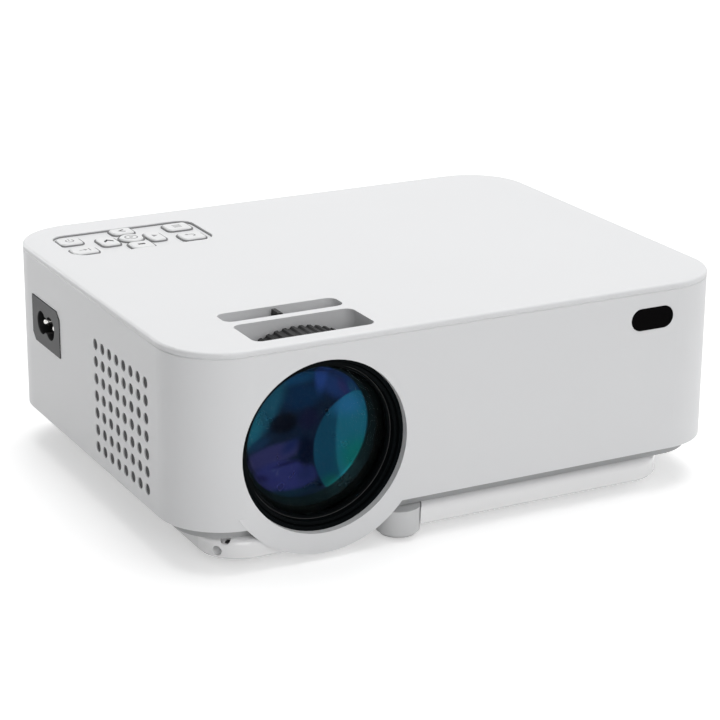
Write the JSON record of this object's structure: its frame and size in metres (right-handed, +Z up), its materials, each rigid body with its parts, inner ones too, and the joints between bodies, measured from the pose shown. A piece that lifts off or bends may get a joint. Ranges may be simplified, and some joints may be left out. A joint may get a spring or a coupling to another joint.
{
  "type": "projector with disc drive",
  "caption": "Compact projector with a deep lens and focus ring, slotted lid, raised key pad, power inlet, speaker grille, and a slim disc drive whose tray slides out of the right side.",
  "frame": {"origin": "centre of the footprint, on the table", "axes": "+Z up, lens faces -Y, disc tray slides out along +X"},
  "size_m": [0.2006, 0.1573, 0.0734],
  "materials": {
    "white_plastic": "satin",
    "key_plastic": "satin",
    "grey_plastic": "matt",
    "black_plastic": "matt",
    "ir_plastic": "polished",
    "optical_glass": "polished and coated",
    "optical_sheet": "polished",
    "front_mirror": "mirror",
    "board": "solder mask",
    "aluminium": "extruded",
    "steel": "pressed and plated",
    "brass": "turned",
    "rubber": "matt"
  },
  "bodies": {
    "housing": {"main_shell": "white_plastic", "top_cover": "white_plastic", "chassis_plate": "grey_plastic", "bottom_pan": "white_plastic", "rubber_feet": "rubber", "tripod_insert": "brass", "cover_screws": "steel", "foot_stud": "steel", "ir_window": "ir_plastic", "ir_receiver": "board", "power_inlet": "black_plastic", "inlet_pins": "steel", "lens_mount": "black_plastic", "speaker": "black_plastic", "light_tunnel": "black_plastic", "lcd_panel": "optical_sheet", "fresnel_plates": "optical_sheet", "condenser_lens": "optical_glass", "led_board": "aluminium", "heat_sink": "aluminium", "fan_frame": "black_plastic", "keypad_board": "board", "power_board": "board", "main_board": "board", "driver_board": "board", "hdmi_port": "steel", "usb_port": "steel", "av_jacks": "black_plastic", "dvd_case": "steel", "dvd_rails": "steel", "mirror_bracket": "steel"},
    "focus_wheel": {"focus_ring": "black_plastic"},
    "lens": {"lens_barrel": "black_plastic", "front_lens": "optical_glass", "rear_lens": "optical_glass", "lens_retaining_ring": "black_plastic", "focus_pins": "steel"},
    "keystone": {"keystone_slider": "black_plastic"},
    "mirror_unit": {"mirror": "front_mirror", "mirror_frame": "black_plastic"},
    "fan": {"fan_rotor": "black_plastic"},
    "tray": {"dvd_tray": "black_plastic", "dvd_bezel": "white_plastic", "spindle_motor": "steel", "pickup_rods": "steel"},
    "runners": {"dvd_runners": "black_plastic"},
    "spindle": {"spindle_hub": "black_plastic"},
    "pickup": {"pickup_sled": "black_plastic"},
    "eject": {"eject_button": "white_plastic"},
    "foot_pad": {"foot_sole": "rubber"},
    "foot_knob": {"foot_cup": "white_plastic"},
    "key_power_body": {"key_power": "key_plastic"},
    "key_source_body": {"key_source": "key_plastic"},
    "key_up_body": {"key_up": "key_plastic"},
    "key_left_body": {"key_left": "key_plastic"},
    "key_down_body": {"key_down": "key_plastic"},
    "key_right_body": {"key_right": "key_plastic"},
    "key_ok_body": {"key_ok": "key_plastic"},
    "key_menu_body": {"key_menu": "key_plastic"},
    "key_back_body": {"key_back": "key_plastic"}
  },
  "joints": [
    {"name": "focus_turn", "type": "hinge", "parent": "housing", "child": "focus_wheel", "pos_m": [-0.0526, -0.0635, 0.0376], "axis": [0, 1, 0], "range_deg": [-50, 50]},
    {"name": "focus_travel", "type": "slide", "parent": "housing", "child": "lens", "axis": [0, -1, 0], "range_m": [-0.00249, 0.00249]},
    {"name": "keystone_slide", "type": "slide", "parent": "housing", "child": "keystone", "axis": [1, 0, 0], "range_m": [-0.0155, 0.0155]},
    {"name": "mirror_tilt", "type": "hinge", "parent": "housing", "child": "mirror_unit", "pos_m": [-0.0526, 0.018, 0.0376], "axis": [0.7071, 0.7071, 0], "range_deg": [-4.2, 4.2]},
    {"name": "fan_spin", "type": "hinge", "parent": "housing", "child": "fan", "pos_m": [0.0925, 0.018, 0.0376], "axis": [1, 0, 0], "continuous": true},
    {"name": "tray_slide", "type": "slide", "parent": "housing", "child": "tray", "axis": [1, 0, 0], "range_m": [0, 0.122]},
    {"name": "runner_slide", "type": "slide", "parent": "housing", "child": "runners", "axis": [1, 0, 0], "range_m": [0, 0.0611]},
    {"name": "disc_spin", "type": "hinge", "parent": "tray", "child": "spindle", "pos_m": [0.0355, 0, 0.066], "axis": [0, 0, 1], "continuous": true},
    {"name": "pickup_slide", "type": "slide", "parent": "tray", "child": "pickup", "axis": [-1, 0, 0], "range_m": [0, 0.0335]},
    {"name": "eject_press", "type": "slide", "parent": "tray", "child": "eject", "axis": [-1, 0, 0], "range_m": [0, 0.0006], "stiffness_N_per_m": 600},
    {"name": "foot_extend", "type": "slide", "parent": "housing", "child": "foot_pad", "axis": [0, 0, -1], "range_m": [0, 0.005]},
    {"name": "foot_turn", "type": "hinge", "parent": "foot_pad", "child": "foot_knob", "pos_m": [-0.023, -0.0713, 0], "axis": [0, 0, 1], "range_deg": [0, 1801]},
    {"name": "key_power_press", "type": "slide", "parent": "housing", "child": "key_power_body", "axis": [0, 0, -1], "range_m": [0, 0.0005], "stiffness_N_per_m": 800},
    {"name": "key_source_press", "type": "slide", "parent": "housing", "child": "key_source_body", "axis": [0, 0, -1], "range_m": [0, 0.0005], "stiffness_N_per_m": 800},
    {"name": "key_up_press", "type": "slide", "parent": "housing", "child": "key_up_body", "axis": [0, 0, -1], "range_m": [0, 0.0005], "stiffness_N_per_m": 800},
    {"name": "key_left_press", "type": "slide", "parent": "housing", "child": "key_left_body", "axis": [0, 0, -1], "range_m": [0, 0.0005], "stiffness_N_per_m": 800},
    {"name": "key_down_press", "type": "slide", "parent": "housing", "child": "key_down_body", "axis": [0, 0, -1], "range_m": [0, 0.0005], "stiffness_N_per_m": 800},
    {"name": "key_right_press", "type": "slide", "parent": "housing", "child": "key_right_body", "axis": [0, 0, -1], "range_m": [0, 0.0005], "stiffness_N_per_m": 800},
    {"name": "key_ok_press", "type": "slide", "parent": "housing", "child": "key_ok_body", "axis": [0, 0, -1], "range_m": [0, 0.0005], "stiffness_N_per_m": 800},
    {"name": "key_menu_press", "type": "slide", "parent": "housing", "child": "key_menu_body", "axis": [0, 0, -1], "range_m": [0, 0.0005], "stiffness_N_per_m": 800},
    {"name": "key_back_press", "type": "slide", "parent": "housing", "child": "key_back_body", "axis": [0, 0, -1], "range_m": [0, 0.0005], "stiffness_N_per_m": 800}
  ],
  "couplings": [
    {"joint": "focus_turn", "follows": "focus_travel", "rad_per_m": 349.07},
    {"joint": "mirror_tilt", "follows": "keystone_slide", "rad_per_m": 4.5627},
    {"joint": "runner_slide", "follows": "tray_slide", "ratio": 0.5},
    {"joint": "foot_turn", "follows": "foot_extend", "rad_per_m": 6283.2}
  ]
}
